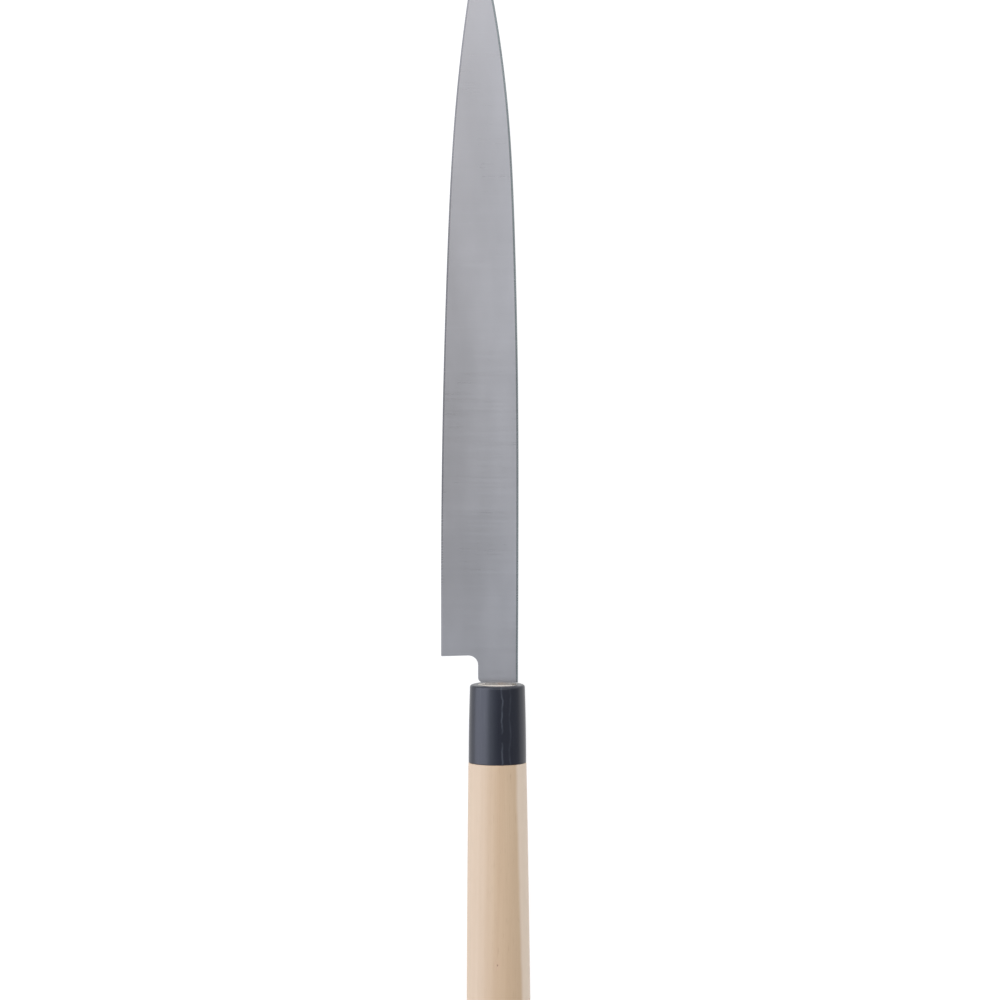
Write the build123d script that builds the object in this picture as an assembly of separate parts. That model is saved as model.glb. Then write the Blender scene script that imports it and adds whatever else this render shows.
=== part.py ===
from build123d import *
import math
import os

# A yanagiba knife, lying level with the flat back of its blade up. While it is built, the ferrule's
# mouth is at Y = 0, the handle's axis is the Y axis, the tip points to +Y and the spine lies to +X.
# At the end all pieces move together, which puts the origin under the middle of the knife.

# Blade: lengths along Y, heights across it, thicknesses along Z
blade_length = 300.0
heel_height = 32.9
spine_offset = 8.95
heel_slant = 0.45
heel_radius = 0.35
neck_thickness = 4.0
tip_thickness = 1.5
edge_land = 0.12
spine_chamfer = 0.4

# Stations of the blade from heel to tip. Each has its place as a share of the blade's length, then
# the rise of the edge, the drop of the spine and the width of the bevel as shares of the heel's
# height, and the depth of the hollow in the back as a share of its greatest depth.
station_shares = [
    (0.00, 0.000, 0.005, 0.60, 0.0),
    (0.02, 0.000, 0.004, 0.60, 0.1),
    (0.06, 0.000, 0.002, 0.60, 0.8),
    (0.14, 0.001, 0.000, 0.60, 1.0),
    (0.37, 0.0275, 0.0035, 0.56, 1.0),
    (0.58, 0.0865, 0.0415, 0.52, 0.9),
    (0.78, 0.190, 0.136, 0.43, 0.6),
    (0.91, 0.322, 0.289, 0.33, 0.25),
    (0.97, 0.412, 0.412, 0.27, 0.1),
    (1.00, 0.479, 0.521, 0.24, 0.0),
]

# How far past the heel the wide bevel runs out, in a round corner
runout_length = 8.0
runout_round_share = 0.95

# Hollow in the flat back, with the flat rims that are left beside it
hollow_depth = 0.3
edge_rim = 0.7
spine_rim = 0.9
hollow_reach_share = 0.05

# Neck, shoulders and tang
neck_length = 11.75
neck_width = 17.0
neck_radius = 2.2
notch_radius = 4.1
machi_gap = 1.1
tang_length = 105.0
tang_root_width = 11.4
tang_end_width = 6.0
tang_end_thickness = 2.2
tang_end_radius = 2.0
tang_offset = 0.5

# Oval section of ferrule and grip, with the ridge on its far side towards the edge
section_thickness_share = 0.81
ridge_rise = 1.0
ridge_radius = 1.6
ridge_angle = 35.0

# Ferrule
ferrule_length = 33.5
ferrule_front_width = 23.4
ferrule_mid_width = 24.2
ferrule_rear_width = 24.6
ferrule_mid_share = 0.45
ferrule_wall = 3.5
ferrule_rim_radius = 1.1
ferrule_rear_chamfer = 0.25

# Wooden handle
handle_length = 145.0
grip_front_width = 24.8
grip_mid_width = 26.3
grip_butt_width = 27.4
grip_mid_share = 0.5
grip_butt_drift = 0.5
shoulder_radius = 0.4
butt_radius = 1.5
tenon_fit = 0.05
slot_fit = 0.15
slot_end_gap = 3.0

# Seal round the tang at the mouth
seal_margin = 0.7
seal_depth = 1.5
seal_radius = 1.2

# How far each cutting shape runs past what it cuts
overrun = 2.0

# Places that follow from the sizes
heel_y = machi_gap + neck_length - heel_slant
tip_y = heel_y + blade_length
back_z = neck_thickness / 2
taper = math.degrees(math.atan((neck_thickness - tip_thickness) / (tip_y - machi_gap)))


def station_y(share):
    return heel_y + share * blade_length


def edge_x(rise_share):
    return spine_offset - heel_height + rise_share * heel_height


def spine_x(drop_share):
    return spine_offset - drop_share * heel_height


def thickness_at(y):
    return neck_thickness - (neck_thickness - tip_thickness) * (y - machi_gap) / (tip_y - machi_gap)


def edge_line(z):
    points = [(edge_x(rise), station_y(share), z) for share, rise, _, _, _ in station_shares]
    return Spline(*points)


def spine_line(z):
    points = [(spine_x(drop), station_y(share), z) for share, _, drop, _, _ in station_shares]
    return Spline(*points)


def outer_region(line, far_x, near_y, corner_radius=0):
    """The face between a long line of the blade and a far side, past the tip and the heel."""
    start = line @ 0
    end = line @ 1
    z = start.Z
    corner = Vector(start.X, near_y, z)
    sides = Polyline(
        (end.X, end.Y, z),
        (end.X, tip_y + overrun, z),
        (far_x, tip_y + overrun, z),
        (far_x, near_y, z),
        (corner.X, corner.Y, z),
        (start.X, start.Y, z),
    )
    face = make_face(line + sides)
    if corner_radius:
        face = fillet(face.vertices().sort_by_distance(corner)[0], corner_radius)
    return face


def blade_plate():
    """The outline of blade and neck, as a plate of the neck's thickness."""
    edge = edge_line(-back_z)
    spine = spine_line(-back_z)
    spine_side = (spine @ 0).X
    neck_side = spine_side - neck_width
    heel_side = (edge @ 0).X
    notch_y = machi_gap + neck_length
    neck = Polyline(
        (heel_side, heel_y, -back_z),
        (neck_side, notch_y, -back_z),
        (neck_side, machi_gap, -back_z),
        (spine_side, machi_gap, -back_z),
        (spine_side, heel_y, -back_z),
    )
    face = make_face(edge + spine + neck)
    face = fillet(face.vertices().sort_by_distance((neck_side, notch_y, -back_z))[0], notch_radius)
    face = fillet(face.vertices().sort_by_distance((neck_side, machi_gap, -back_z))[0], neck_radius)
    face = fillet(face.vertices().sort_by_distance((heel_side, heel_y, -back_z))[0], heel_radius)
    return extrude(face, amount=neck_thickness, dir=(0, 0, 1))


def taper_cut():
    """What lies below the flat of the far side, which rises slowly towards the tip."""
    block = Box(
        heel_height + heel_height,
        tip_y + tip_y,
        neck_thickness,
        align=(Align.CENTER, Align.CENTER, Align.MAX),
    )
    return Pos(0, machi_gap, -back_z) * Rot(X=taper) * block


def bevel_cut():
    """What lies outside the wide bevel: straight lines from the edge through the shinogi."""
    top_z = back_z - edge_land
    low_z = -back_z - overrun
    far_x = edge_x(0) - heel_height
    low_points = []
    for share, rise, _, width, _ in station_shares:
        y = station_y(share)
        reach = (top_z - low_z) / (thickness_at(y) - edge_land)
        low_points.append((edge_x(rise) + reach * width * heel_height, y, low_z))
    near_y = heel_y - runout_length
    corner_radius = runout_round_share * runout_length
    top = outer_region(edge_line(top_z), far_x, near_y, corner_radius)
    low = outer_region(Spline(*low_points), far_x, near_y, corner_radius)
    return loft([top, low], ruled=True)


def hollow_cut():
    """The shallow hollow of the back, lofted through circular arcs from rim to rim."""
    sections = []
    for share, rise, drop, _, depth_share in station_shares:
        if depth_share:
            left = edge_x(rise) + edge_rim
            right = spine_x(drop) - spine_rim
            depth = depth_share * hollow_depth
            reach = hollow_reach_share * (right - left)
            lift = depth * ((1 + 2 * hollow_reach_share) ** 2 - 1)
            plane = Plane.XZ.offset(-station_y(share))
            arc = ThreePointArc(
                (left - reach, back_z + lift),
                ((left + right) / 2, back_z - depth),
                (right + reach, back_z + lift),
            )
            lid = Polyline(
                (right + reach, back_z + lift),
                (right + reach, back_z + overrun),
                (left - reach, back_z + overrun),
                (left - reach, back_z + lift),
            )
            sections.append(plane * make_face(arc + lid))
    return loft(sections)


def spine_chamfer_cuts():
    """The two sloping corners of the spine, on the back and on the far side."""
    far_x = spine_offset + heel_height
    near_y = machi_gap - overrun
    region = outer_region(spine_line(0), far_x, near_y).face()
    shift = spine_chamfer + 2 * overrun
    top = Solid.extrude(region, Vector(-shift, 0, shift))
    low = Solid.extrude(region, Vector(-shift, 0, -shift))
    top_seat = Pos(overrun, 0, back_z - spine_chamfer - overrun)
    low_seat = Pos(overrun, -machi_gap, spine_chamfer + overrun)
    return [top_seat * top, Pos(0, machi_gap, -back_z) * Rot(X=taper) * low_seat * low]


def tang_block(grow, end_gap):
    """The tapered tang; the slot in the wood is the same block grown on all sides."""
    root = Rectangle(tang_root_width + 2 * grow, neck_thickness + 2 * grow)
    end = Rectangle(tang_end_width + 2 * grow, tang_end_thickness + 2 * grow)
    root = Plane.XZ.offset(-machi_gap) * Pos(tang_offset, 0) * root
    end = Plane.XZ.offset(tang_length - machi_gap) * end
    block = loft([root, end])
    if end_gap:
        block += extrude(end, amount=end_gap, dir=(0, -1, 0))
    else:
        corners = block.edges().filter_by(Axis.Z).sort_by(Axis.Y)[:2]
        block = fillet(corners, tang_end_radius)
    return block


def make_blade():
    body = blade_plate() - taper_cut()
    for cut in spine_chamfer_cuts():
        body -= cut
    body -= bevel_cut()
    body -= hollow_cut()
    return body + tang_block(0, 0)


def oval_section(width, y, drift=0):
    """An oval with straight flanks that meet in a rounded ridge, in the plane at the given Y."""
    across = width / 2
    deep = across * section_thickness_share
    turn = math.radians(-90 - ridge_angle)
    stretch = 1 + ridge_rise / deep
    spread = math.acos(1 / stretch)
    start = math.degrees(turn + spread)
    sweep = math.degrees(math.tau - 2 * spread)
    crown = EllipticalCenterArc((0, 0), across, deep, start, arc_size=sweep)
    ridge = (across * stretch * math.cos(turn), deep * stretch * math.sin(turn))
    flanks = Polyline(crown @ 1, ridge, crown @ 0)
    face = make_face(crown + flanks)
    face = fillet(face.vertices().sort_by_distance((*ridge, 0))[0], ridge_radius)
    return Plane.XZ.offset(-y) * Pos(drift, 0) * face


def end_edges(body, y):
    """The edges of the flat end of a body at the given Y."""
    faces = body.faces().filter_by(Plane.XZ)
    return min(faces, key=lambda face: abs(face.center().Y - y)).outer_wire().edges()


def tenon_section(grow):
    width = ferrule_front_width - 2 * ferrule_wall
    thickness = ferrule_front_width * section_thickness_share - 2 * ferrule_wall
    return Ellipse(width / 2 + grow, thickness / 2 + grow)


def make_ferrule():
    body = loft(
        [
            oval_section(ferrule_front_width, 0),
            oval_section(ferrule_mid_width, -ferrule_mid_share * ferrule_length),
            oval_section(ferrule_rear_width, -ferrule_length),
        ]
    )
    body = fillet(end_edges(body, 0), ferrule_rim_radius)
    body = chamfer(end_edges(body, -ferrule_length), ferrule_rear_chamfer)
    bore = Plane.XZ.offset(-overrun) * tenon_section(tenon_fit)
    return body - extrude(bore, amount=ferrule_length + 2 * overrun)


def seal_plug():
    """The rounded plug at the mouth, still without its hole for the tang."""
    outline = RectangleRounded(
        tang_root_width + 2 * seal_margin, neck_thickness + 2 * seal_margin, seal_radius
    )
    return extrude(Plane.XZ * Pos(tang_offset, 0) * outline, amount=seal_depth)


def make_handle():
    grip_length = handle_length - ferrule_length
    body = loft(
        [
            oval_section(grip_front_width, -ferrule_length),
            oval_section(
                grip_mid_width,
                -ferrule_length - grip_mid_share * grip_length,
                grip_mid_share * grip_butt_drift,
            ),
            oval_section(grip_butt_width, -handle_length, grip_butt_drift),
        ]
    )
    body = fillet(end_edges(body, -ferrule_length), shoulder_radius)
    body = fillet(end_edges(body, -handle_length), butt_radius)
    body += extrude(Plane.XZ * tenon_section(0), amount=ferrule_length + overrun)
    return body - tang_block(slot_fit, slot_end_gap) - seal_plug()


def make_seal():
    return seal_plug() - tang_block(0, 0)


pieces = {
    "blade": make_blade(),
    "ferrule": make_ferrule(),
    "handle": make_handle(),
    "tang_seal": make_seal(),
}

box = Compound(list(pieces.values())).bounding_box()
base = Pos(-box.center().X, -box.center().Y, -box.min.Z)

os.makedirs("parts", exist_ok=True)
for name, piece in pieces.items():
    export_step(base * piece, f"parts/{name}.step")
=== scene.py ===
import bpy
import math
import numpy as np
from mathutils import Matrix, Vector
from mathutils.geometry import delaunay_2d_cdt


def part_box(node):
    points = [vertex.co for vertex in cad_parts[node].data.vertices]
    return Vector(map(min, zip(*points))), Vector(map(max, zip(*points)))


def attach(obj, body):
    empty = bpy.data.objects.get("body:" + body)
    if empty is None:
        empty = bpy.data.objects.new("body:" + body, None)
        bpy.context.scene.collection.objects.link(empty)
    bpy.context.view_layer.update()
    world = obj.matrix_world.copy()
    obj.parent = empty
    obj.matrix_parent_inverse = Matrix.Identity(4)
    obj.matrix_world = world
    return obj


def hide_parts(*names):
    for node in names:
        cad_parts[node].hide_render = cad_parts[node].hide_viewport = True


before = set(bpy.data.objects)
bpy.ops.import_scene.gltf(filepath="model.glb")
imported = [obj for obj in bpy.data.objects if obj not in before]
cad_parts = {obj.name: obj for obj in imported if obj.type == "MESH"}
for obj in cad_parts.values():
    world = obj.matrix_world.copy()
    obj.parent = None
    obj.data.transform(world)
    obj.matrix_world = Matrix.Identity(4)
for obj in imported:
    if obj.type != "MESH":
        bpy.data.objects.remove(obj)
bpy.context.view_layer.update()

# Sizes of the part in millimetres, as in its source. There the ferrule's mouth is at Y = 0.
MM = 0.001
blade_length = 300.0
heel_height = 32.9
spine_offset = 8.95
heel_slant = 0.45
heel_radius = 0.35
neck_thickness = 4.0
tip_thickness = 1.5
edge_land = 0.12
spine_chamfer = 0.4
# Each row has its place as a share of the blade's length, then how far the edge and the spine lie
# inwards and how wide the bevel is, in heel heights, and last the share of the hollow's depth.
stations = np.array([
    (0.00, 0.000, 0.005, 0.60, 0.0),
    (0.02, 0.000, 0.004, 0.60, 0.1),
    (0.06, 0.000, 0.002, 0.60, 0.8),
    (0.14, 0.001, 0.000, 0.60, 1.0),
    (0.37, 0.0275, 0.0035, 0.56, 1.0),
    (0.58, 0.0865, 0.0415, 0.52, 0.9),
    (0.78, 0.190, 0.136, 0.43, 0.6),
    (0.91, 0.322, 0.289, 0.33, 0.25),
    (0.97, 0.412, 0.412, 0.27, 0.1),
    (1.00, 0.479, 0.521, 0.24, 0.0),
])
runout_length = 8.0
runout_radius = 7.6
hollow_depth = 0.3
edge_rim = 0.7
spine_rim = 0.9
neck_length = 11.75
neck_width = 17.0
neck_radius = 2.2
notch_radius = 4.1
machi_gap = 1.1
tang_length = 105.0
tang_root_width = 11.4
tang_end_width = 6.0
tang_end_thickness = 2.2
tang_end_radius = 2.0
tang_offset = 0.5
section_share = 0.81
ridge_rise = 1.0
ridge_radius = 1.6
ridge_angle = 35.0
ferrule_length = 33.5
ferrule_widths = (23.4, 24.2, 24.6)
ferrule_mid_share = 0.45
ferrule_wall = 3.5
ferrule_rim_radius = 1.1
ferrule_rear_chamfer = 0.25
handle_length = 145.0
grip_widths = (24.8, 26.3, 27.4)
grip_mid_share = 0.5
grip_drift = 0.5
shoulder_radius = 0.4
butt_radius = 1.5
tenon_fit = 0.05
slot_fit = 0.15
slot_end_gap = 3.0
seal_margin = 0.7
seal_depth = 1.5
seal_radius = 1.2

# How finely curves are sampled: points in each span of a line, round an oval and round an ellipse,
# in each step of an outline, and in each ring of a skinned piece
SPAN_POINTS = 200
OVAL_POINTS = 1500
ELLIPSE_POINTS = 2000
OVAL_FILL = 40
BOX_FILL = 60
RING = 288

heel_y = machi_gap + neck_length - heel_slant
tip_y = heel_y + blade_length
back_z = neck_thickness / 2
taper_slope = (neck_thickness - tip_thickness) / (tip_y - machi_gap)

ferrule_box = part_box("ferrule")
blade_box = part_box("blade")
origin = Vector((
    (ferrule_box[0].x + ferrule_box[1].x) / 2,
    ferrule_box[1].y,
    blade_box[1].z - back_z * MM,
))


# Curves

def smooth_line(points):
    """The smooth curve through the points, sampled finely, with its parameter by distance."""
    points = np.array(points, float)
    t = np.concatenate(([0.0], np.cumsum(np.linalg.norm(np.diff(points, axis=0), axis=1))))
    count = len(t)
    h = np.diff(t)
    rise = np.diff(points, axis=0) / h[:, None]

    def end_slope(ids):
        at = t[ids[0]]
        slope = np.zeros(2)
        for i in ids:
            total = 0.0
            for k in ids:
                if k != i:
                    term = 1.0 / (t[i] - t[k])
                    for j in ids:
                        if j not in (i, k):
                            term *= (at - t[j]) / (t[i] - t[j])
                    total += term
            slope += total * points[i]
        return slope

    matrix = np.zeros((count, count))
    right = np.zeros((count, 2))
    matrix[0, 0] = matrix[-1, -1] = 1
    right[0] = end_slope([0, 1, 2, 3])
    right[-1] = end_slope([count - 1, count - 2, count - 3, count - 4])
    for i in range(1, count - 1):
        matrix[i, i - 1:i + 2] = h[i], 2 * (h[i - 1] + h[i]), h[i - 1]
        right[i] = 3 * (h[i] * rise[i - 1] + h[i - 1] * rise[i])
    slopes = np.linalg.solve(matrix, right)
    curve = []
    for i in range(count - 1):
        u = np.linspace(0, 1, SPAN_POINTS, endpoint=False)[:, None]
        curve.append(
            (1 + 2 * u) * (1 - u) ** 2 * points[i]
            + u * (1 - u) ** 2 * h[i] * slopes[i]
            + u * u * (3 - 2 * u) * points[i + 1]
            + u * u * (u - 1) * h[i] * slopes[i + 1]
        )
    curve.append(points[-1:])
    return np.concatenate(curve)


station_y = heel_y + stations[:, 0] * blade_length


def along_blade(values):
    return smooth_line(np.stack((values, station_y), 1))


# The hollow's shares are drawn this many times larger, so that their curve bends evenly
DEPTH_SCALE = 10
DEPTH_LIMIT = 1.05
edge_curve = along_blade(spine_offset - heel_height + stations[:, 1] * heel_height)
spine_curve = along_blade(spine_offset - stations[:, 2] * heel_height)
width_curve = along_blade(stations[:, 3] * heel_height)
depth_curve = along_blade(stations[:, 4] * DEPTH_SCALE)


def edge_x(y):
    return np.interp(y, edge_curve[:, 1], edge_curve[:, 0])


def spine_x(y):
    return np.interp(y, spine_curve[:, 1], spine_curve[:, 0])


def hollow_at(y):
    share = np.interp(y, depth_curve[:, 1], depth_curve[:, 0]) / DEPTH_SCALE
    return np.clip(share, 0, DEPTH_LIMIT) * hollow_depth


def flat_z(y):
    """The far side's flat, which rises towards the tip as the blade gets thinner."""
    return -back_z + taper_slope * (y - machi_gap)


def bevel_slope(y):
    """How fast the wide bevel falls away from the edge."""
    width = np.interp(y, width_curve[:, 1], width_curve[:, 0])
    drop = neck_thickness - taper_slope * (y - machi_gap) - edge_land
    return drop / width


def bevel_start(y):
    """Where the bevel starts at each Y: the edge, and past the heel its round run-out."""
    off_the_blade = 50.0
    just_below_one = 0.9999
    low = heel_y - runout_length + runout_radius
    back = np.clip((low - y) / runout_radius, 0, just_below_one)
    gone = runout_radius * (1 - np.sqrt(1 - back ** 2))
    return edge_x(y) - gone - np.where(y < heel_y - runout_length, off_the_blade, 0.0)


def bevel_z(x, y):
    return back_z - edge_land - bevel_slope(y) * (x - bevel_start(y))


def shinogi_x(y):
    """Where the wide bevel meets the flat of the far side."""
    drop = back_z - edge_land - flat_z(y)
    return bevel_start(y) + drop / bevel_slope(y)


def right_x(y):
    """The spine side of the outline, which the bevel cuts short near the tip."""
    k = bevel_slope(y)
    lost = spine_chamfer - edge_land
    return np.minimum(spine_x(y), edge_x(y) + (spine_x(y) - edge_x(y) - lost) / (1 - k))


def low_crease_x(y):
    """Where the wide bevel meets the far chamfer of the spine, near the tip."""
    k = bevel_slope(y)
    return (back_z - edge_land + k * edge_x(y) - flat_z(y) - spine_chamfer + spine_x(y)) / (1 + k)


def rounded(points, steps):
    """A closed outline whose corners have the radii given with them."""
    result = []
    count = len(points)
    for i, (x, y, radius) in enumerate(points):
        corner = np.array((x, y))
        if not radius:
            result.append(corner)
            continue
        before = np.array(points[i - 1][:2]) - corner
        after = np.array(points[(i + 1) % count][:2]) - corner
        before /= np.linalg.norm(before)
        after /= np.linalg.norm(after)
        half = math.acos(float(before @ after)) / 2
        reach = radius / math.tan(half)
        middle = corner + (before + after) / np.linalg.norm(before + after) * radius / math.sin(half)
        start = corner + before * reach - middle
        end = corner + after * reach - middle
        a = math.atan2(start[1], start[0])
        b = math.atan2(end[1], end[0])
        turn = (b - a + math.pi) % (2 * math.pi) - math.pi
        for s in np.linspace(0, 1, steps + 1):
            angle = a + turn * s
            result.append(middle + radius * np.array((math.cos(angle), math.sin(angle))))
    return result


def new_object(name, vertices, faces, slots, indices, sharp, uvs=None):
    """A smooth-shaded object with crisp edges at the pairs of vertices in sharp."""
    mesh = bpy.data.meshes.new(name)
    mesh.from_pydata([tuple(v) for v in vertices], [], faces)
    for material in slots:
        mesh.materials.append(material)
    mesh.polygons.foreach_set("material_index", indices)
    mesh.polygons.foreach_set("use_smooth", [True] * len(faces))
    flags = [(min(e.vertices), max(e.vertices)) in sharp for e in mesh.edges]
    mesh.attributes.new("sharp_edge", "BOOLEAN", "EDGE")
    mesh.attributes["sharp_edge"].data.foreach_set("value", flags)
    if uvs is not None:
        layer = mesh.uv_layers.new(name="along_across")
        ids = np.zeros(len(mesh.loops), int)
        mesh.loops.foreach_get("vertex_index", ids)
        layer.data.foreach_set("uv", np.array(uvs, float)[ids].ravel())
    mesh.update()
    piece = bpy.data.objects.new(name, mesh)
    bpy.context.collection.objects.link(piece)
    return piece


# Materials

# The sockets of a Mix node that hold colours
MIX_FIRST = 6
MIX_SECOND = 7
MIX_RESULT = 2


class Nodes:
    """A small helper for node trees: each call adds a node and returns its output."""

    def __init__(self, name):
        self.material = bpy.data.materials.new(name)
        self.material.use_nodes = True
        self.tree = self.material.node_tree
        self.shader = self.tree.nodes["Principled BSDF"]
        self.place = self.tree.nodes.new("ShaderNodeTexCoord").outputs["Object"]

    def put(self, socket, value):
        if hasattr(value, "links"):
            self.tree.links.new(value, socket)
        else:
            socket.default_value = value

    def set(self, name, value):
        self.put(self.shader.inputs[name], value)

    def scaled(self, x, y, z, turn=0.0):
        node = self.tree.nodes.new("ShaderNodeMapping")
        self.put(node.inputs["Vector"], self.place)
        node.inputs["Scale"].default_value = (x, y, z)
        node.inputs["Rotation"].default_value = (0, 0, math.radians(turn))
        return node.outputs["Vector"]

    def noise(self, source, detail=2.0, rough=0.5, distortion=0.0):
        node = self.tree.nodes.new("ShaderNodeTexNoise")
        self.put(node.inputs["Vector"], source)
        node.inputs["Scale"].default_value = 1.0
        node.inputs["Detail"].default_value = detail
        node.inputs["Roughness"].default_value = rough
        node.inputs["Distortion"].default_value = distortion
        return node.outputs["Fac"]

    def map(self, value, low, high, to_low=0.0, to_high=1.0, smooth=False):
        node = self.tree.nodes.new("ShaderNodeMapRange")
        node.interpolation_type = "SMOOTHSTEP" if smooth else "LINEAR"
        self.put(node.inputs["Value"], value)
        node.inputs["From Min"].default_value = low
        node.inputs["From Max"].default_value = high
        node.inputs["To Min"].default_value = to_low
        node.inputs["To Max"].default_value = to_high
        return node.outputs["Result"]

    def math(self, kind, a, b=0.0):
        node = self.tree.nodes.new("ShaderNodeMath")
        node.operation = kind
        self.put(node.inputs[0], a)
        self.put(node.inputs[1], b)
        return node.outputs[0]

    def mix(self, factor, a, b):
        node = self.tree.nodes.new("ShaderNodeMix")
        node.data_type = "RGBA"
        self.put(node.inputs["Factor"], factor)
        self.put(node.inputs[MIX_FIRST], (*a, 1) if isinstance(a, tuple) else a)
        self.put(node.inputs[MIX_SECOND], (*b, 1) if isinstance(b, tuple) else b)
        return node.outputs[MIX_RESULT]

    def bump(self, height, distance):
        node = self.tree.nodes.new("ShaderNodeBump")
        node.inputs["Strength"].default_value = 1.0
        node.inputs["Distance"].default_value = distance
        self.put(node.inputs["Height"], height)
        return node.outputs["Normal"]

    def parts(self):
        node = self.tree.nodes.new("ShaderNodeSeparateXYZ")
        self.put(node.inputs[0], self.place)
        return node.outputs


def linear(r, g, b):
    """A colour given as it looks on screen, from 0 to 255."""
    return tuple(
        c / 255 / 12.92 if c / 255 <= 0.04045 else ((c / 255 + 0.055) / 1.055) ** 2.4
        for c in (r, g, b)
    )


def steel(name, light, dark, rough, along=False, scratch=1.0, heel_look=None, grime_and_shade_at_machi=False):
    """Ground steel, with its scratches across the blade or along it, and painted shade towards the heel
    where it is ground across the blade.
    """
    painted_heel_shade = (0.17, 0.22, 0.30)
    dull_scratch = (0.42, 0.42, 0.44)
    bright_scratch = (0.78, 0.78, 0.80)
    grime_and_ferrule_shade = (0.29, 0.28, 0.285)
    n = Nodes(name)
    heel = origin.y + heel_y * MM
    if heel_look:
        heel_light, heel_dark, heel_rough = heel_look
        fade = n.map(n.parts()["Y"], heel + 0.012, heel + 0.075, smooth=True)
        light = n.mix(fade, heel_light, light)
        dark = n.mix(fade, heel_dark, dark)
        rough = n.math("ADD", n.math("MULTIPLY", fade, rough - heel_rough), heel_rough)
    fine_scale = (2600, 35, 35) if along else (35, 2600, 35)
    coarse_scale = (900, 9, 20) if along else (25, 900, 20)
    cloud = n.noise(n.scaled(60, 18, 60), 3.0, 0.55)
    fine = n.noise(n.scaled(*fine_scale, turn=0 if along else 1.5), 2.0, 0.6)
    coarse = n.noise(n.scaled(*coarse_scale, turn=0 if along else -2.0), 1.0, 0.5)
    marks = n.map(coarse, 0.64, 0.80, 0.0, 1.0)
    body = n.mix(n.map(cloud, 0.3, 0.7), dark, light)
    # Painted shade: the steel ground across the blade is darkened and cooled towards the heel.
    if not along:
        heel_shade_share = n.map(n.parts()["Y"], heel - 0.012, heel + 0.10, 0.14, 0.0, smooth=True)
        body = n.mix(heel_shade_share, body, painted_heel_shade)
    body = n.mix(n.map(fine, 0.25, 0.75, 0.0, 0.06 * scratch), body, dull_scratch)
    body = n.mix(n.math("MULTIPLY", marks, 0.05 * scratch), body, bright_scratch)
    # Grime and painted shade: the ground steel darkens just before the machi, partly residue and partly
    # a painted reflection of the dark ferrule.
    if grime_and_shade_at_machi:
        shoulder = origin.y + machi_gap * MM
        near = n.map(n.parts()["Y"], shoulder, shoulder + 0.0026, 0.42, 0.0, smooth=True)
        body = n.mix(near, body, grime_and_ferrule_shade)
    n.set("Base Color", body)
    n.set("Metallic", 1.0)
    smear = n.math("ADD", n.map(fine, 0.2, 0.8, -0.04, 0.04), n.map(cloud, 0.2, 0.8, -0.03, 0.03))
    n.set("Roughness", n.math("ADD", smear, rough))
    height = n.math("ADD", fine, n.math("MULTIPLY", marks, -0.4))
    n.set("Normal", n.bump(height, 0.000006 * scratch))
    return n.material


def forged():
    """Unground steel of the tang, dull, with a little rust."""
    scale_dark = (0.30, 0.29, 0.275)
    scale_light = (0.40, 0.39, 0.375)
    rust_brown = (0.27, 0.19, 0.14)
    rust_x = origin.x + 1.4 * MM
    n = Nodes("steel_tang_forged")
    scale = n.noise(n.scaled(700, 500, 700), 4.0, 0.6)
    body = n.mix(n.map(scale, 0.3, 0.7), scale_dark, scale_light)
    patch = n.noise(n.scaled(230, 120, 230), 2.0, 0.5, 0.4)
    middle = n.math("SUBTRACT", n.parts()["X"], rust_x)
    near = n.map(n.math("ABSOLUTE", middle), 0.0006, 0.0026, 1.0, 0.12, smooth=True)
    rust = n.math("MULTIPLY", n.map(patch, 0.36, 0.60, 0.0, 0.65, smooth=True), near)
    n.set("Base Color", n.mix(rust, body, rust_brown))
    n.set("Metallic", n.map(rust, 0.0, 0.75, 1.0, 0.55))
    n.set("Roughness", n.map(scale, 0.2, 0.8, 0.42, 0.6))
    n.set("Normal", n.bump(scale, 0.00003))
    return n.material


def horn():
    """Polished black horn, with faint veins along it and two wavy pale lines."""
    ground_dark = (0.003, 0.005, 0.013)
    ground_light = (0.005, 0.007, 0.017)
    vein = (0.018, 0.021, 0.030)
    pale_thread = (0.032, 0.035, 0.045)
    pale_line = (0.050, 0.057, 0.072)
    n = Nodes("black_horn_polished")
    streak = n.noise(n.scaled(520, 14, 520), 3.0, 0.6, 0.35)
    thread = n.noise(n.scaled(1500, 26, 1500), 2.0, 0.5, 0.2)
    cloud = n.noise(n.scaled(120, 40, 120), 2.0, 0.5)
    base = n.mix(n.map(cloud, 0.3, 0.7), ground_dark, ground_light)
    base = n.mix(n.map(streak, 0.60, 0.74, 0.0, 0.6, smooth=True), base, vein)
    base = n.mix(n.map(thread, 0.66, 0.8, 0.0, 0.4), base, pale_thread)
    x = n.parts()["X"]
    for place, pitch, strength in ((2.0, 170, 0.8), (5.4, 130, 0.35)):
        wave = n.map(n.noise(n.scaled(0, pitch, 0), 2.0), 0.0, 1.0, -0.0011, 0.0011)
        beside = n.math("SUBTRACT", n.math("SUBTRACT", x, origin.x + place * MM), wave)
        away = n.math("ABSOLUTE", beside)
        broken = n.map(n.noise(n.scaled(0, pitch * 0.7, 0), 3.0), 0.38, 0.56, 0.0, strength)
        line = n.math("MULTIPLY", n.map(away, 0.00004, 0.00055, 1.0, 0.0, smooth=True), broken)
        base = n.mix(line, base, pale_line)
    n.set("Base Color", base)
    n.set("IOR", 1.56)
    rough = n.math("ADD", n.map(thread, 0.2, 0.8, -0.03, 0.04), n.map(cloud, 0.2, 0.8, -0.02, 0.03))
    n.set("Roughness", n.math("ADD", rough, 0.30))
    n.set("Normal", n.bump(thread, 0.00001))
    return n.material


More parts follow.
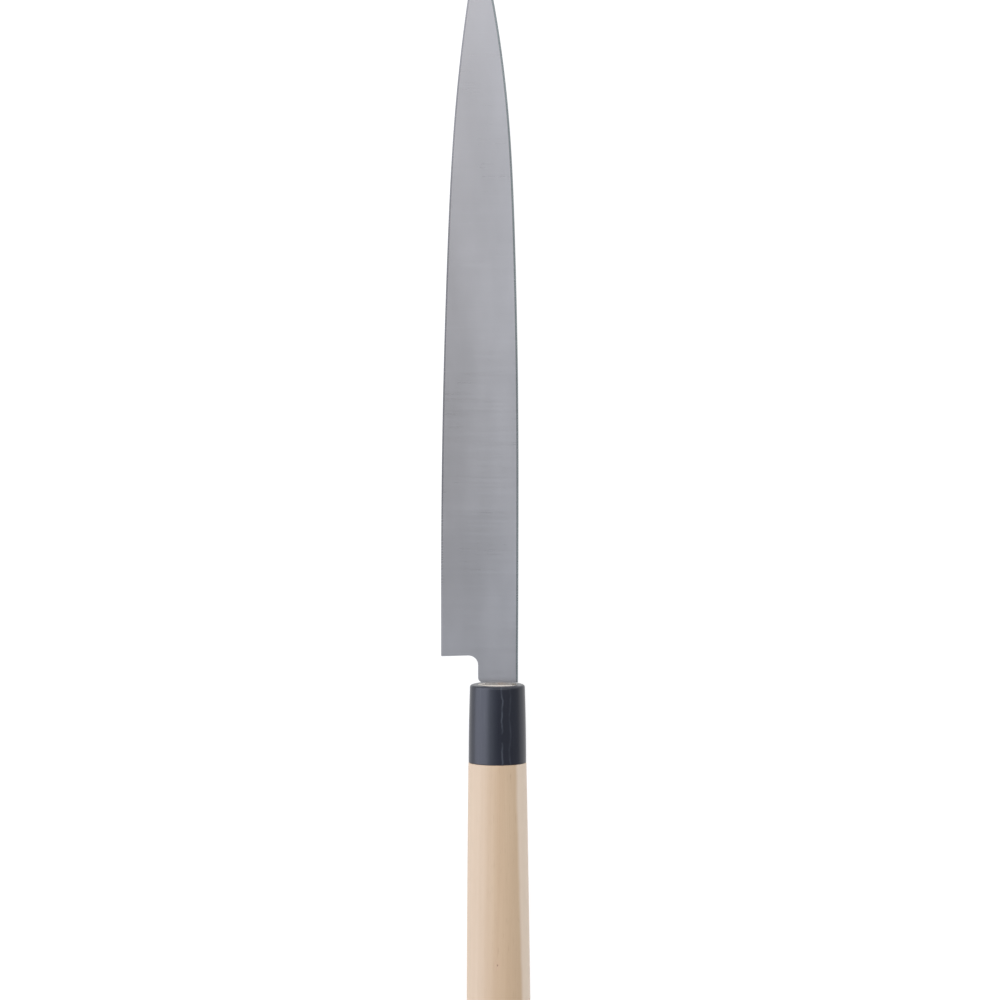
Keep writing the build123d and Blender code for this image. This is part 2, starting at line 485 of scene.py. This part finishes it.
def wood():
    """Pale magnolia wood, with painted light and sheen on its left side, a lighter strip on its right
    flank that is partly sapwood and partly painted light, and one knot.
    """
    pale = linear(195, 171, 142)
    warm = linear(184, 156, 126)
    ring_dark = linear(176, 146, 115)
    fibre_dark = linear(172, 144, 114)
    pore_dark = linear(150, 122, 94)
    painted_left_sheen = linear(184, 166, 145)
    sapwood_and_rim_light = linear(213, 196, 177)
    knot_rim = linear(196, 160, 138)
    knot_core = linear(118, 90, 70)
    knot_squeeze = 0.7
    knot_place = (0.00495, -0.2030 * knot_squeeze, 0.0218)
    n = Nodes("pale_magnolia_wood")
    rings = n.tree.nodes.new("ShaderNodeTexWave")
    rings.wave_type = "RINGS"
    rings.rings_direction = "Y"
    shifted = n.tree.nodes.new("ShaderNodeMapping")
    n.put(shifted.inputs["Vector"], n.place)
    shifted.inputs["Location"].default_value = (0.021, 0.0, 0.034)
    shifted.inputs["Scale"].default_value = (1, 0.06, 1)
    n.put(rings.inputs["Vector"], shifted.outputs["Vector"])
    rings.inputs["Scale"].default_value = 130.0
    rings.inputs["Distortion"].default_value = 1.6
    rings.inputs["Detail"].default_value = 2.0
    rings.inputs["Detail Scale"].default_value = 0.6
    broad = n.noise(n.scaled(70, 5, 70), 2.0, 0.5)
    fibre = n.noise(n.scaled(1800, 20, 1800), 3.0, 0.6)
    pores = n.noise(n.scaled(4200, 160, 4200), 1.0, 0.5)
    body = n.mix(n.map(broad, 0.25, 0.75), pale, warm)
    body = n.mix(n.map(rings.outputs["Fac"], 0.0, 1.0, 0.0, 0.22), body, ring_dark)
    body = n.mix(n.map(fibre, 0.3, 0.75, 0.0, 0.22), body, fibre_dark)
    body = n.mix(n.map(pores, 0.66, 0.74, 0.0, 0.30), body, pore_dark)
    x, y, _ = n.parts()
    # Painted light: the left side, where the cool key light and its sheen fall, is tinted greyer and
    # cooler.
    left_sheen_share = n.map(x, origin.x - 0.013, origin.x + 0.003, 0.55, 0.0, smooth=True)
    body = n.mix(left_sheen_share, body, painted_left_sheen)
    # Partly sapwood and partly painted light: a lighter strip along the right flank, where the light
    # from the right falls.
    wander = n.map(n.noise(n.scaled(0, 55, 0), 2.0), 0.0, 1.0, -0.0005, 0.0005)
    border = n.math("ADD", n.math("MULTIPLY", y, -0.0255), wander)
    inside = n.map(n.math("SUBTRACT", x, border), 0.0091, 0.0108, 0.0, 0.85, smooth=True)
    body = n.mix(inside, body, sapwood_and_rim_light)
    knot = n.tree.nodes.new("ShaderNodeVectorMath")
    knot.operation = "DISTANCE"
    n.put(knot.inputs[0], n.scaled(1, knot_squeeze, 1))
    knot.inputs[1].default_value = knot_place
    wobble = n.math("ADD", knot.outputs["Value"], n.map(fibre, 0.2, 0.8, -0.0002, 0.0002))
    body = n.mix(n.map(wobble, 0.0006, 0.0022, 0.15, 0.0, smooth=True), body, knot_rim)
    body = n.mix(n.map(wobble, 0.0002, 0.0005, 0.75, 0.0, smooth=True), body, knot_core)
    n.set("Base Color", body)
    n.set("Roughness", n.math("ADD", n.map(fibre, 0.2, 0.8, -0.05, 0.07), 0.50))
    height = n.math("ADD", n.math("MULTIPLY", fibre, 0.6), n.map(pores, 0.62, 0.74, 0.0, -0.8))
    n.set("Normal", n.bump(height, 0.00003))
    return n.material


def filler(name, light, dark):
    """A dull pale filler with a fine grain."""
    n = Nodes(name)
    grain = n.noise(n.scaled(900, 900, 900), 3.0, 0.6)
    n.set("Base Color", n.mix(n.map(grain, 0.3, 0.7), dark, light))
    n.set("Roughness", n.map(grain, 0.2, 0.8, 0.6, 0.75))
    n.set("Normal", n.bump(grain, 0.00004))
    return n.material


# Light tone, dark tone and roughness of each ground face of the blade
back_look = ((0.606, 0.591, 0.608), (0.570, 0.556, 0.573), 0.31)
rim_look = ((0.34, 0.375, 0.38), (0.31, 0.335, 0.345), 0.24)
edge_look = ((0.44, 0.435, 0.46), (0.40, 0.395, 0.42), 0.24)
bevel_look = ((0.62, 0.62, 0.635), (0.57, 0.57, 0.59), 0.34)
flat_look = ((0.60, 0.60, 0.62), (0.54, 0.54, 0.56), 0.28)
back_steel = steel("steel_back_ground", *back_look, grime_and_shade_at_machi=True)
rim_steel = steel("steel_rim_honed", *rim_look, scratch=0.2, grime_and_shade_at_machi=True)
edge_steel = steel("steel_edge_honed", *edge_look, scratch=0.2, heel_look=back_look)
bevel_steel = steel("steel_bevel_ground", *bevel_look)
flat_steel = steel("steel_flat_polished", *flat_look, along=True, scratch=0.5)
tang_steel = forged()
black_horn = horn()
pale_wood = wood()
seal_filler = filler("seal_filler", linear(224, 215, 200), linear(205, 194, 178))
end_grain = filler("wood_end_sealed", linear(226, 219, 207), linear(206, 195, 180))


# Blade: its plan is meshed once, with the feature lines of both faces, and lifted to each face

# The kinds of surface on the blade. The three low ones keep this order, as levels() counts on it.
HOLLOW, BACK_RIM, TOP_CHAMFER, FLAT, BEVEL, LOW_CHAMFER, TANG_TOP, TANG_LOW, WALL, EDGE_RIM = range(10)
TINY = 1e-6


def make_blade_piece():
    last_row = tip_y - 0.9
    heel_rows = np.linspace(heel_y, heel_y + 24, 17)
    middle_rows = np.linspace(heel_y + 26, tip_y - 12, 138)
    tip_rows = np.linspace(tip_y - 11.2, last_row, 14)
    rows = np.concatenate((heel_rows, middle_rows, tip_rows))
    ends = np.linspace(last_row, tip_y, 400)
    end_y = ends[np.argmax(right_x(ends) <= edge_x(ends))]
    spine_side = float(spine_x(heel_y))
    neck_side = spine_side - neck_width
    heel_side = float(edge_x(heel_y))
    tang_y = machi_gap - tang_length
    half_root = tang_root_width / 2
    half_end = tang_end_width / 2
    join_y = heel_y + 5
    near = rounded([
        (neck_side, machi_gap, neck_radius),
        (neck_side, machi_gap + neck_length, notch_radius),
        (heel_side, heel_y, heel_radius),
        (heel_side, join_y, 0),
        (spine_side, join_y, 0),
        (spine_side, machi_gap, 0),
        (tang_offset + half_root, machi_gap, 0),
        (half_end, tang_y, tang_end_radius),
        (-half_end, tang_y, tang_end_radius),
        (tang_offset - half_root, machi_gap, 0),
    ], 8)
    cut = next(i for i, p in enumerate(near) if abs(p[1] - join_y) < TINY)
    outline = near[:cut]
    outline += [np.array((float(edge_x(y)), y)) for y in rows[1:]]
    outline.append(np.array((float(edge_x(end_y)), end_y)))
    outline += [np.array((float(right_x(y)), y)) for y in rows[::-1]]
    outline += [np.array((spine_side, y)) for y in np.linspace(heel_y, machi_gap, 8)[1:-1]]
    outline += near[cut + 2:]
    points = list(outline)
    edges = [(i, (i + 1) % len(outline)) for i in range(len(outline))]

    def add_line(line):
        start = len(points)
        points.extend(np.array((float(x), float(y))) for x, y in line)
        edges.extend((start + i, start + i + 1) for i in range(len(line) - 1))

    hollow_start = heel_y + 2.5
    hollow_end = heel_y + 0.98 * blade_length
    hollow_rows = rows[(rows > hollow_start) & (rows < hollow_end)]
    neck_rows = np.linspace(machi_gap, heel_y + 1.5, 9)
    for y in hollow_rows:
        left = edge_x(y) + edge_rim
        right = spine_x(y) - spine_rim
        for share in np.linspace(0, 1, 23)[1:-1]:
            points.append(np.array((float(left + (right - left) * share), y)))
    add_line([(edge_x(y) + edge_rim, y) for y in hollow_rows])
    add_line([(spine_x(y) - spine_rim, y) for y in np.concatenate((neck_rows, hollow_rows))])
    last = hollow_rows[-1]
    add_line([(edge_x(last) + edge_rim, last), (spine_x(last) - spine_rim, last)])
    long_rows = np.concatenate((np.linspace(machi_gap, heel_y, 8)[:-1], rows))
    chamfer_rows = long_rows[spine_x(long_rows) - spine_chamfer > edge_x(long_rows) + 0.3]
    add_line([(spine_x(y) - spine_chamfer, y) for y in chamfer_rows])
    bevel_rows = np.concatenate((heel_y - runout_length + np.linspace(0.6, 7.8, 13), rows))
    ridge = np.minimum(shinogi_x(bevel_rows), low_crease_x(bevel_rows))
    clear = 0.02
    keep = (ridge > neck_side + clear) & (ridge < right_x(bevel_rows) - clear)
    add_line(list(zip(ridge[keep], bevel_rows[keep])))

    inside_only = 1
    whole = [list(range(len(outline)))]
    out = delaunay_2d_cdt([Vector(p) for p in points], edges, whole, inside_only, 1e-5)
    plan = np.array([tuple(v) for v in out[0]])
    triangles = [tuple(f) for f in out[2]]
    x, y = plan[:, 0], plan[:, 1]

    def levels(x, y):
        """Heights of both faces, with the kind of surface that makes each."""
        left = edge_x(y) + edge_rim
        right = spine_x(y) - spine_rim
        across = (2 * x - left - right) / np.maximum(right - left, 0.1)
        inside = (np.abs(across) < 1) & (y > heel_y)
        bowl = back_z - np.where(inside, hollow_at(y) * (1 - across ** 2), 0)
        slope = back_z - spine_chamfer + spine_x(y) - x
        top = np.minimum(bowl, slope)
        near_edge = x < (left + right) / 2
        rim_kind = np.where(near_edge, EDGE_RIM, BACK_RIM)
        top_kind = np.where(slope < bowl, TOP_CHAMFER, np.where(inside, HOLLOW, rim_kind))
        top_kind = np.where((top_kind == EDGE_RIM) & (y < hollow_start), HOLLOW, top_kind)
        top_kind = np.where((top_kind == BACK_RIM) & (x < right), HOLLOW, top_kind)
        faces = np.stack((
            flat_z(y),
            bevel_z(x, y),
            flat_z(y) + spine_chamfer - spine_x(y) + x,
        ))
        low_kind = faces.argmax(0) + FLAT
        low = faces.max(0)
        tang = y < machi_gap - TINY
        thin = (machi_gap - y) / tang_length * (neck_thickness - tang_end_thickness) / 2
        top = np.where(tang, back_z - thin, top)
        low = np.where(tang, -back_z + thin, low)
        top_kind = np.where(tang, TANG_TOP, top_kind)
        low_kind = np.where(tang, TANG_LOW, low_kind)
        return np.maximum(top, low), low, top_kind, low_kind

    top, low, _, _ = levels(x, y)
    count = len(plan)
    vertices = np.concatenate((
        np.stack((x, y, top), 1),
        np.stack((x, y, low), 1),
    ))
    middles = np.array([plan[list(t)].mean(0) for t in triangles])
    _, _, top_kind, low_kind = levels(middles[:, 0], middles[:, 1])
    faces = []
    kinds = []
    for triangle, kind in zip(triangles, top_kind):
        a, b, c = triangle
        area = np.cross(plan[b] - plan[a], plan[c] - plan[a])
        faces.append(triangle if area > 0 else triangle[::-1])
        kinds.append(int(kind))
    for i in range(len(triangles)):
        faces.append(tuple(v + count for v in faces[i][::-1]))
        kinds.append(int(low_kind[i]))
    border = {}
    for face in faces[:len(triangles)]:
        for a, b in zip(face, face[1:] + face[:1]):
            border[(a, b)] = border.get((a, b), 0) + 1
    for a, b in list(border):
        if (b, a) not in border:
            faces.append((b, a, a + count, b + count))
            kinds.append(WALL)
    kinds = np.array(kinds)
    sides = {}
    for index, face in enumerate(faces):
        for a, b in zip(face, face[1:] + face[:1]):
            sides.setdefault((min(a, b), max(a, b)), []).append(index)
    smooth_turn = math.radians(25)
    sharp = set()
    for pair, owners in sides.items():
        if len(owners) == 2:
            one, two = owners
            if kinds[one] != kinds[two]:
                sharp.add(pair)
            elif kinds[one] == WALL:
                na = plan[faces[one][1]] - plan[faces[one][0]]
                nb = plan[faces[two][1]] - plan[faces[two][0]]
                cosine = abs(na @ nb) / (np.linalg.norm(na) * np.linalg.norm(nb) + 1e-12)
                if cosine < math.cos(smooth_turn):
                    sharp.add(pair)
    slots = [back_steel, rim_steel, bevel_steel, flat_steel, tang_steel, edge_steel]
    steel_of = {
        HOLLOW: back_steel,
        BACK_RIM: rim_steel,
        TOP_CHAMFER: rim_steel,
        FLAT: flat_steel,
        BEVEL: bevel_steel,
        LOW_CHAMFER: rim_steel,
        TANG_TOP: tang_steel,
        TANG_LOW: tang_steel,
        WALL: rim_steel,
        EDGE_RIM: edge_steel,
    }
    slot_of = {kind: slots.index(look) for kind, look in steel_of.items()}
    uv_length = 100
    uvs = np.stack((vertices[:, 1], vertices[:, 0] - edge_x(vertices[:, 1])), 1) / uv_length
    places = vertices * MM + np.array(origin)
    indices = [slot_of[k] for k in kinds]
    return new_object("blade_ground", places, faces, slots, indices, sharp, uvs)


# Rings of points round the handle's axis

angles = np.linspace(-math.pi, math.pi, RING, endpoint=False)


def by_angle(points):
    """The points where a closed outline crosses the rays at the ring's angles."""
    points = np.array(points)
    turn = np.arctan2(points[:, 1], points[:, 0])
    reach = np.linalg.norm(points, axis=1)
    order = np.argsort(turn)
    radius = np.interp(angles, turn[order], reach[order], period=2 * math.pi)
    return np.stack((radius * np.cos(angles), radius * np.sin(angles)), 1)


def filled(chain, steps):
    """Points close together along a chain of points, without its last one."""
    shares = np.linspace(0, 1, steps, endpoint=False)
    return [a + (b - a) * share for a, b in zip(chain[:-1], chain[1:]) for share in shares]


def oval(width):
    """The oval section with straight flanks and a rounded ridge, as a ring of points."""
    across = width / 2
    deep = across * section_share
    turn = math.radians(-90 - ridge_angle)
    stretch = 1 + ridge_rise / deep
    spread = math.acos(1 / stretch)
    arc = np.linspace(turn + spread, turn + 2 * math.pi - spread, OVAL_POINTS)
    crown = [(across * math.cos(a), deep * math.sin(a)) for a in arc]
    ridge = (across * stretch * math.cos(turn), deep * stretch * math.sin(turn))
    corner = rounded([(*crown[-1], 0), (*ridge, ridge_radius), (*crown[0], 0)], 40)
    dense = [np.array(p) for p in crown]
    return by_angle(dense + filled(corner + [np.array(crown[0])], OVAL_FILL))


def ellipse(grow):
    """The tenon's elliptic section, or the wider one of the ferrule's bore."""
    half_width = ferrule_widths[0] / 2 - ferrule_wall + grow
    half_depth = ferrule_widths[0] * section_share / 2 - ferrule_wall + grow
    arc = np.linspace(-math.pi, math.pi, ELLIPSE_POINTS, endpoint=False)
    return by_angle([(half_width * math.cos(a), half_depth * math.sin(a)) for a in arc])


def box_ring(width, height, radius, centre):
    """A rectangle with rounded corners, as a ring of points."""
    corners = [(-1, -1), (1, -1), (1, 1), (-1, 1)]
    path = rounded([(sx * width / 2, sy * height / 2, radius) for sx, sy in corners], 30)
    return by_angle(filled(path + path[:1], BOX_FILL)) + np.array(centre)


def inset(ring, distance):
    """The ring moved inwards by the distance."""
    along = np.roll(ring, -1, 0) - np.roll(ring, 1, 0)
    along /= np.linalg.norm(along, axis=1)[:, None]
    return ring + np.stack((-along[:, 1], along[:, 0]), 1) * distance


def between(rings, mid_share, share):
    """The ring at a share of the way along a body with three sections."""
    a, b, c = rings
    m = mid_share
    return (
        a * (share - m) * (share - 1) / m
        + b * share * (share - 1) / (m * (m - 1))
        + c * share * (share - m) / (1 - m)
    )


def ring_piece(name, chain, slots, second=(), closed=False):
    """A piece skinned over a chain of (ring, Y, sharp) from one end to the other.

    The bands listed in second have the second material. A closed chain joins its ends.
    """
    vertices = []
    for ring, y, _ in chain:
        vertices += [(px, y, pz) for px, pz in ring]
    faces = []
    sharp = set()
    count = len(chain)
    for k in range(count if closed else count - 1):
        a = k * RING
        b = (k + 1) % count * RING
        for i in range(RING):
            j = (i + 1) % RING
            faces.append((a + i, a + j, b + j, b + i))
    for k, (_, _, crisp) in enumerate(chain):
        if crisp:
            for i in range(RING):
                pair = (k * RING + i, k * RING + (i + 1) % RING)
                sharp.add((min(pair), max(pair)))
    if not closed:
        for k, flip in ((0, True), (count - 1, False)):
            ring = chain[k][0]
            centre = ring.mean(0)
            vertices.append((centre[0], chain[k][1], centre[1]))
            hub = len(vertices) - 1
            for i in range(RING):
                a = k * RING + i
                b = k * RING + (i + 1) % RING
                faces.append((hub, b, a) if flip else (hub, a, b))
    places = np.array(vertices) * MM + np.array(origin)
    indices = [int(i // RING in second) for i in range(len(faces))]
    return new_object(name, places, faces, slots, indices, sharp)


def round_over(radius, steps):
    """Depth and inset of the points of a rounded edge, from the end face outwards."""
    return [
        (radius * (1 - math.cos(a)), radius * (1 - math.sin(a)))
        for a in np.linspace(0, math.pi / 2, steps + 1)
    ]


def make_ferrule_piece():
    rings = [oval(width) for width in ferrule_widths]

    def at(depth):
        return between(rings, ferrule_mid_share, depth / ferrule_length)

    bore = ellipse(tenon_fit)
    chain = [(bore, 0.0, True)]
    for depth, inwards in round_over(ferrule_rim_radius, 10):
        chain.append((inset(at(depth), inwards), -depth, False))
    rear = ferrule_length - ferrule_rear_chamfer
    for depth in np.linspace(2, rear, 22)[:-1]:
        chain.append((at(depth), -depth, False))
    chain.append((at(rear), -rear, True))
    chain.append((inset(rings[2], ferrule_rear_chamfer), -ferrule_length, True))
    chain.append((bore, -ferrule_length, True))
    return ring_piece("ferrule_horn", chain, [black_horn], closed=True)


def make_handle_piece():
    drifts = (0.0, grip_mid_share * grip_drift, grip_drift)
    rings = [oval(width) + np.array((drift, 0)) for width, drift in zip(grip_widths, drifts)]
    grip_length = handle_length - ferrule_length

    def at(depth):
        return between(rings, grip_mid_share, depth / grip_length)

    tenon = ellipse(0)
    root = (tang_root_width + 2 * slot_fit, neck_thickness + 2 * slot_fit)
    end = (tang_end_width + 2 * slot_fit, tang_end_thickness + 2 * slot_fit)
    depth_share = (seal_depth + machi_gap) / tang_length
    mouth = tuple(a + (b - a) * depth_share for a, b in zip(root, end))
    mouth_centre = (tang_offset * (1 - depth_share), 0)
    plug = (tang_root_width + 2 * seal_margin, neck_thickness + 2 * seal_margin)
    slot_y = machi_gap - tang_length
    slot_corner = 0.05
    seat = box_ring(*plug, seal_radius, (tang_offset, 0))
    slot_mouth = box_ring(*mouth, slot_corner, mouth_centre)
    slot_end = box_ring(*end, slot_corner, (0, 0))
    chain = [
        (slot_end, slot_y - slot_end_gap, True),
        (slot_end, slot_y, False),
        (slot_mouth, -seal_depth, True),
        (seat, -seal_depth, True),
        (seat, 0.0, True),
        (tenon, 0.0, True),
        (tenon, -ferrule_length, True),
    ]
    for depth, inwards in round_over(shoulder_radius, 5):
        chain.append((inset(at(depth), inwards), -ferrule_length - depth, False))
    for depth in np.linspace(2, grip_length - butt_radius, 40)[:-1]:
        chain.append((at(depth), -ferrule_length - depth, False))
    for depth, inwards in reversed(round_over(butt_radius, 10)):
        chain.append((inset(at(grip_length - depth), inwards), depth - handle_length, False))
    chain[-1] = (chain[-1][0], chain[-1][1], True)
    tenon_end_band = 4
    return ring_piece("handle_wood", chain, [pale_wood, end_grain], second=(tenon_end_band,))


blade = make_blade_piece()
ferrule = make_ferrule_piece()
handle = make_handle_piece()
for piece, node, slot in (
    (blade, "blade", "blade_steel"),
    (ferrule, "ferrule", "black_horn"),
    (handle, "handle", "pale_wood"),
):
    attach(piece, "root")
    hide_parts(node)
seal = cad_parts["tang_seal"]
for slot in seal.material_slots:
    slot.material = seal_filler


# Floor, light and camera

def make_floor():
    """A white floor: it glows evenly where it is seen, and is plain white for the light it passes on."""
    reach = 4
    corners = [(-reach, -reach, 0), (reach, -reach, 0), (reach, reach, 0), (-reach, reach, 0)]
    mesh = bpy.data.meshes.new("floor")
    mesh.from_pydata(corners, [], [(0, 1, 2, 3)])
    floor = bpy.data.objects.new("floor", mesh)
    bpy.context.collection.objects.link(floor)
    material = bpy.data.materials.new("floor_white")
    material.use_nodes = True
    tree = material.node_tree
    tree.nodes.clear()
    paths = tree.nodes.new("ShaderNodeLightPath")
    plain = tree.nodes.new("ShaderNodeBsdfDiffuse")
    plain.inputs["Color"].default_value = (0.80, 0.80, 0.80, 1)
    veil = tree.nodes.new("ShaderNodeBsdfDiffuse")
    veil.inputs["Color"].default_value = (0.18, 0.18, 0.18, 1)
    glow = tree.nodes.new("ShaderNodeEmission")
    glow.inputs["Color"].default_value = (1, 1, 1, 1)
    glow.inputs["Strength"].default_value = 0.90
    both = tree.nodes.new("ShaderNodeAddShader")
    tree.links.new(veil.outputs[0], both.inputs[0])
    tree.links.new(glow.outputs[0], both.inputs[1])
    seen = paths.outputs["Is Camera Ray"]
    for kind in ("Is Glossy Ray", "Is Transmission Ray"):
        either = tree.nodes.new("ShaderNodeMath")
        either.operation = "MAXIMUM"
        tree.links.new(seen, either.inputs[0])
        tree.links.new(paths.outputs[kind], either.inputs[1])
        seen = either.outputs[0]
    mix = tree.nodes.new("ShaderNodeMixShader")
    tree.links.new(seen, mix.inputs[0])
    tree.links.new(plain.outputs[0], mix.inputs[1])
    tree.links.new(both.outputs[0], mix.inputs[2])
    end = tree.nodes.new("ShaderNodeOutputMaterial")
    tree.links.new(mix.outputs[0], end.inputs["Surface"])
    mesh.materials.append(material)


def make_world():
    """A plain studio round the part: a cool bright side on the left, darker overhead."""
    world = bpy.data.worlds.new("studio")
    bpy.context.scene.world = world
    world.use_nodes = True
    tree = world.node_tree
    place = tree.nodes.new("ShaderNodeTexCoord")
    split = tree.nodes.new("ShaderNodeSeparateXYZ")
    tree.links.new(place.outputs["Generated"], split.inputs[0])
    side = tree.nodes.new("ShaderNodeMapRange")
    side.inputs["From Min"].default_value = -1.0
    side.inputs["From Max"].default_value = 1.0
    tree.links.new(split.outputs["X"], side.inputs["Value"])
    ramp = tree.nodes.new("ShaderNodeValToRGB")
    ramp.color_ramp.interpolation = "EASE"
    # Place from left to right, brightness, and how much cooler than grey it is
    levels = (
        (-1.00, 1.05, 0.08),
        (-0.60, 1.10, 0.08),
        (-0.30, 1.02, 0.07),
        (-0.12, 0.52, 0.05),
        (0.02, 0.44, 0.02),
        (0.20, 0.46, 0.01),
        (0.45, 0.50, 0.00),
        (0.75, 0.47, 0.02),
        (1.00, 0.50, 0.02),
    )
    stops = ramp.color_ramp.elements
    while len(stops) < len(levels):
        stops.new(0.5)
    for stop, (across, level, cool) in zip(stops, levels):
        stop.position = (across + 1) / 2
        stop.color = (level * (1 - cool), level, level * (1 + cool), 1)
    tree.links.new(side.outputs[0], ramp.inputs[0])
    shift = tree.nodes.new("ShaderNodeMath")
    shift.operation = "ADD"
    tree.links.new(split.outputs["Y"], shift.inputs[0])
    shift.inputs[1].default_value = 0.13
    length = tree.nodes.new("ShaderNodeMath")
    length.operation = "ABSOLUTE"
    tree.links.new(shift.outputs[0], length.inputs[0])
    ends = tree.nodes.new("ShaderNodeMapRange")
    ends.interpolation_type = "SMOOTHSTEP"
    ends.inputs["From Min"].default_value = 0.40
    ends.inputs["From Max"].default_value = 0.76
    tree.links.new(length.outputs[0], ends.inputs["Value"])
    fall = tree.nodes.new("ShaderNodeMapRange")
    fall.inputs["From Min"].default_value = -0.28
    fall.inputs["From Max"].default_value = 0.06
    fall.inputs["To Min"].default_value = 0.58
    fall.inputs["To Max"].default_value = 1.14
    tree.links.new(split.outputs["Y"], fall.inputs["Value"])
    dimmed = tree.nodes.new("ShaderNodeVectorMath")
    dimmed.operation = "SCALE"
    tree.links.new(ramp.outputs[0], dimmed.inputs[0])
    tree.links.new(fall.outputs[0], dimmed.inputs["Scale"])
    both = tree.nodes.new("ShaderNodeMix")
    both.data_type = "RGBA"
    tree.links.new(ends.outputs[0], both.inputs["Factor"])
    tree.links.new(dimmed.outputs[0], both.inputs[MIX_FIRST])
    both.inputs[MIX_SECOND].default_value = (1.03, 1.05, 1.08, 1)
    tree.links.new(both.outputs[MIX_RESULT], tree.nodes["Background"].inputs["Color"])


def add_lamp(name, place, target, size, power, colour, mirrored=True):
    """A rectangular lamp turned to its target. Glossy surfaces mirror it only if it says so."""
    data = bpy.data.lights.new(name, "AREA")
    data.shape = "RECTANGLE"
    data.size, data.size_y = size
    data.energy = power
    data.color = colour
    lamp = bpy.data.objects.new(name, data)
    lamp.location = place
    lamp.rotation_euler = (Vector(target) - Vector(place)).to_track_quat("-Z", "Y").to_euler()
    lamp.visible_glossy = mirrored
    bpy.context.collection.objects.link(lamp)


make_floor()
make_world()
add_lamp("key_left", (-1.56, 0.45, 0.92), (0, 0.35, 0), (2.6, 2.1), 32.0, (0.93, 0.945, 1.12))
add_lamp("rim_left", (-0.75, 1.35, 0.75), (0, -0.1, 0), (0.7, 0.7), 3.2, (0.95, 0.96, 1.08))
add_lamp("side_left", (-0.36, -0.55, 0.95), (0, -0.1, 0), (0.40, 0.75), 0.36, (0.95, 0.98, 1.06))
add_lamp("top_soft", (0.4, 0.67, 1.1), (0.4, 0.67, 0), (1.1, 1.1), 2.6, (0.98, 0.99, 1.02))
add_lamp(
    "fill_right", (1.4, -0.1, 0.55), (0, -0.1, 0), (1.2, 0.8), 4.8, (1.0, 0.98, 1.0), mirrored=False
)

camera_data = bpy.data.cameras.new("camera")
camera_data.sensor_width = 36
camera_data.lens = 255.8
camera = bpy.data.objects.new("camera", camera_data)
camera.location = (0.0060, 0.3375, 3.0117)
camera.rotation_euler = (math.radians(-6.5), 0, 0)
bpy.context.collection.objects.link(camera)
bpy.context.scene.camera = camera
bpy.context.scene.view_settings.view_transform = "Standard"
